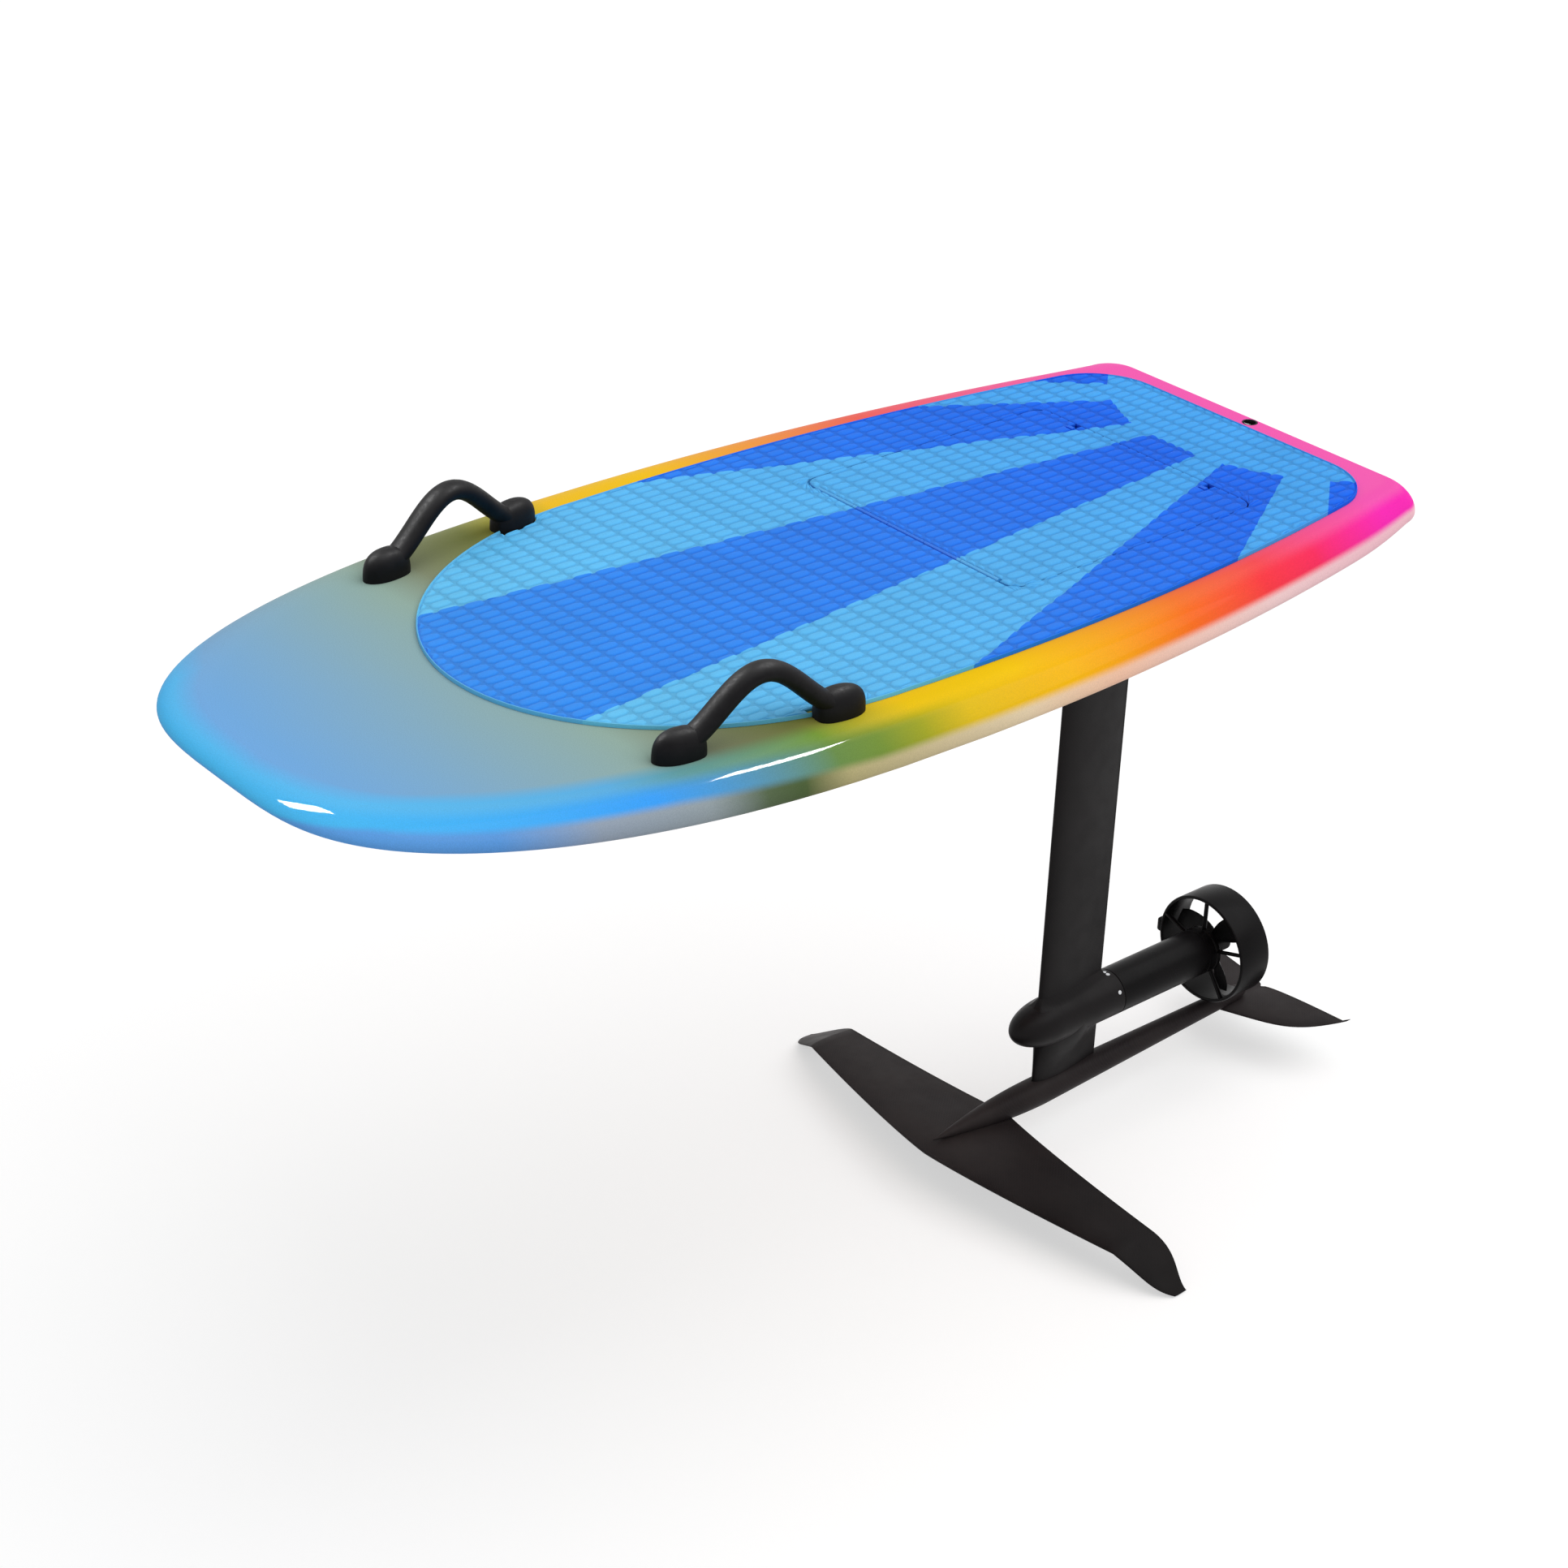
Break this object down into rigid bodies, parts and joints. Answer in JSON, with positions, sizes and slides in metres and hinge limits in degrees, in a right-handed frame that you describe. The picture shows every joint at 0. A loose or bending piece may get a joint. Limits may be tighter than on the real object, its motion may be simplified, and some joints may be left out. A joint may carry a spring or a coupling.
{
  "type": "electric hydrofoil board",
  "caption": "Short wide board with grab handles and a battery hatch in its deck, on a mast with a ducted propeller pod and a winged foil.",
  "frame": {"origin": "on the flat of the hull's bottom, midway along the board and on its centre line", "axes": "+Y runs from the nose to the tail, +Z out of the deck, and +X to the side that faces the camera, which is to the left for someone who stands on the board and looks to the nose"},
  "size_m": [0.7734, 1.7839, 1.1105],
  "materials": {
    "hull": "gloss paint that fades from sky blue at the nose through green, yellow, orange and red to magenta at the tail",
    "lid": "satin laminate",
    "pad": "grooved foam in two blues",
    "rubber": "matt black",
    "plastic": "satin black",
    "composite": "satin black carbon laminate",
    "steel": "stainless",
    "metal": "black anodised",
    "copper": "enamelled copper winding on iron"
  },
  "bodies": {
    "board": {"battery_pack": "plastic", "bearing_front": "steel", "bearing_rear": "steel", "board_hull": "hull", "cable_gland": "plastic", "deck_pad": "pad", "front_wing": "composite", "fuselage": "composite", "handle_foot_left_front": "rubber", "handle_foot_left_rear": "rubber", "handle_foot_right_front": "rubber", "handle_foot_right_rear": "rubber", "handle_grip_left": "rubber", "handle_grip_right": "rubber", "handle_screw_left_front": "steel", "handle_screw_left_rear": "steel", "handle_screw_right_front": "steel", "handle_screw_right_rear": "steel", "hatch_gasket": "rubber", "hinge_leaf_deck": "steel", "hinge_pin": "steel", "leash_cup": "plastic", "leash_pin": "steel", "mast": "composite", "mast_bolt_1": "steel", "mast_bolt_2": "steel", "mast_bolt_3": "steel", "mast_bolt_4": "steel", "mast_foot_bolt_front": "steel", "mast_foot_bolt_rear": "steel", "mast_head_plate": "metal", "mast_insert_left": "metal", "mast_insert_right": "metal", "motor_controller": "metal", "motor_housing": "composite", "motor_stator": "copper", "phase_lead": "rubber", "pod_half_left": "composite", "pod_half_right": "composite", "pod_screw_left_1": "steel", "pod_screw_left_2": "steel", "pod_screw_right_1": "steel", "pod_screw_right_2": "steel", "propeller_guard": "composite", "shaft_seal": "rubber", "stabiliser": "composite", "stabiliser_bolt_front": "steel", "stabiliser_bolt_rear": "steel", "wing_bolt_front": "steel", "wing_bolt_rear": "steel"},
    "hatch": {"hatch_lid": "lid", "hatch_pad": "pad", "hinge_leaf_lid": "steel"},
    "bolt_left": {"hatch_bolt_left": "plastic"},
    "bolt_right": {"hatch_bolt_right": "plastic"},
    "propeller": {"propeller": "plastic", "propeller_nut": "steel", "propeller_shaft": "steel", "motor_rotor": "steel"}
  },
  "joints": [
    {"name": "hatch_hinge", "type": "hinge", "parent": "board", "child": "hatch", "pos_m": [0, 0.17, 0.1223], "axis": [1, 0, 0], "range_deg": [0, 100]},
    {"name": "bolt_left_slide", "type": "slide", "parent": "hatch", "child": "bolt_left", "axis": [0, 1, 0], "range_m": [0, 0.008]},
    {"name": "bolt_right_slide", "type": "slide", "parent": "hatch", "child": "bolt_right", "axis": [0, 1, 0], "range_m": [0, 0.008]},
    {"name": "propeller_spin", "type": "hinge", "parent": "board", "child": "propeller", "pos_m": [0, 0.8106, -0.711], "axis": [0, 1, 0], "continuous": true}
  ]
}
